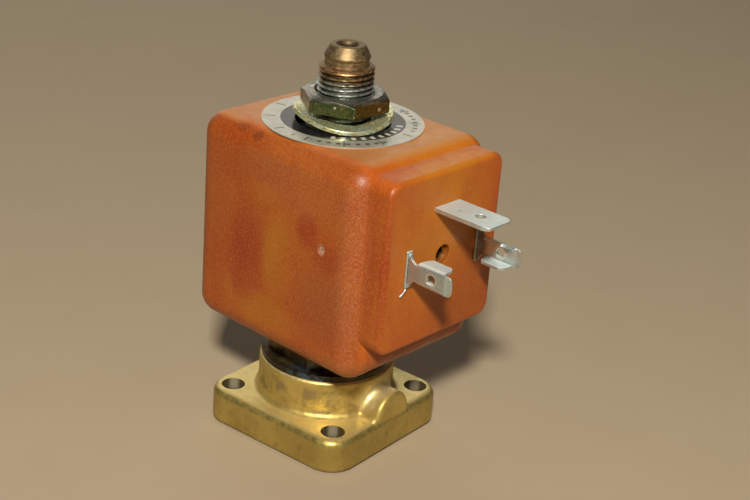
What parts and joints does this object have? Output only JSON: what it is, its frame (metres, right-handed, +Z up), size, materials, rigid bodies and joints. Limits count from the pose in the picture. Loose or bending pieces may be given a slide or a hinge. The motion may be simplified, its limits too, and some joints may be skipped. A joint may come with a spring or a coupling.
{
  "type": "solenoid valve",
  "caption": "Direct-acting solenoid valve: square brass flange body with face ports, steel armature tube with a threaded stem, and an orange moulded coil with tab terminals.",
  "frame": {"origin": "centre of the flange's bottom face, on the axis of the armature tube", "axes": "+Z up the armature tube towards the threaded stem, X and Y along the flange's sides, the coil's plug face towards -Y"},
  "size_m": [0.0347, 0.0559, 0.0721],
  "materials": {
    "body_brass": "worn satin",
    "oxidised_steel": "dark oxidised",
    "core_steel": "rusty turned steel",
    "stainless": "turned",
    "yellow_zinc": "yellow zinc plating",
    "nut_zinc": "dull yellow zinc plating",
    "yoke_steel": "plain",
    "spring_steel": "bright",
    "copper": "bright",
    "insert_brass": "turned",
    "tin": "dull tin plating",
    "label_foil": "printed foil",
    "orange_resin": "satin moulding",
    "bobbin_plastic": "matt",
    "tape": "smooth",
    "black_rubber": "smooth",
    "seal_rubber": "smooth"
  },
  "bodies": {
    "valve_body": {"brass_body": "body_brass", "inlet_o_ring": "black_rubber", "outlet_o_ring": "black_rubber", "tube_hex_base": "oxidised_steel", "tube_seal": "black_rubber", "core_tube": "stainless", "fixed_core": "core_steel", "shading_ring": "copper", "return_spring": "spring_steel", "spring_washer": "yellow_zinc", "coil_nut": "nut_zinc"},
    "armature": {"plunger": "stainless", "inlet_seal": "seal_rubber", "exhaust_seal_spring": "spring_steel"},
    "exhaust_piston": {"exhaust_seal": "seal_rubber"},
    "coil": {"coil_housing": "orange_resin", "label_ring": "label_foil", "coil_bobbin": "bobbin_plastic", "coil_winding": "copper", "winding_tape": "tape", "yoke_frame": "yoke_steel", "yoke_plate": "yoke_steel", "line_contact_left": "tin", "line_contact_right": "tin", "earth_blade": "tin", "connector_insert": "insert_brass", "lead_left": "copper", "lead_right": "copper"}
  },
  "joints": [
    {"name": "plunger_lift", "type": "slide", "parent": "valve_body", "child": "armature", "axis": [0, 0, 1], "range_m": [0, 0.001], "stiffness_N_per_m": 600, "springref_m": -0.003, "deforming": ["return_spring"]},
    {"name": "exhaust_seal_slide", "type": "slide", "parent": "armature", "child": "exhaust_piston", "axis": [0, 0, 1], "range_m": [-0.0002, 0], "deforming": ["exhaust_seal_spring"]},
    {"name": "coil_swivel", "type": "hinge", "parent": "valve_body", "child": "coil", "pos_m": [0, 0, 0.04], "axis": [0, 0, 1], "continuous": true}
  ],
  "couplings": [
    {"joint": "exhaust_seal_slide", "follows": "plunger_lift", "ratio": -0.2}
  ]
}
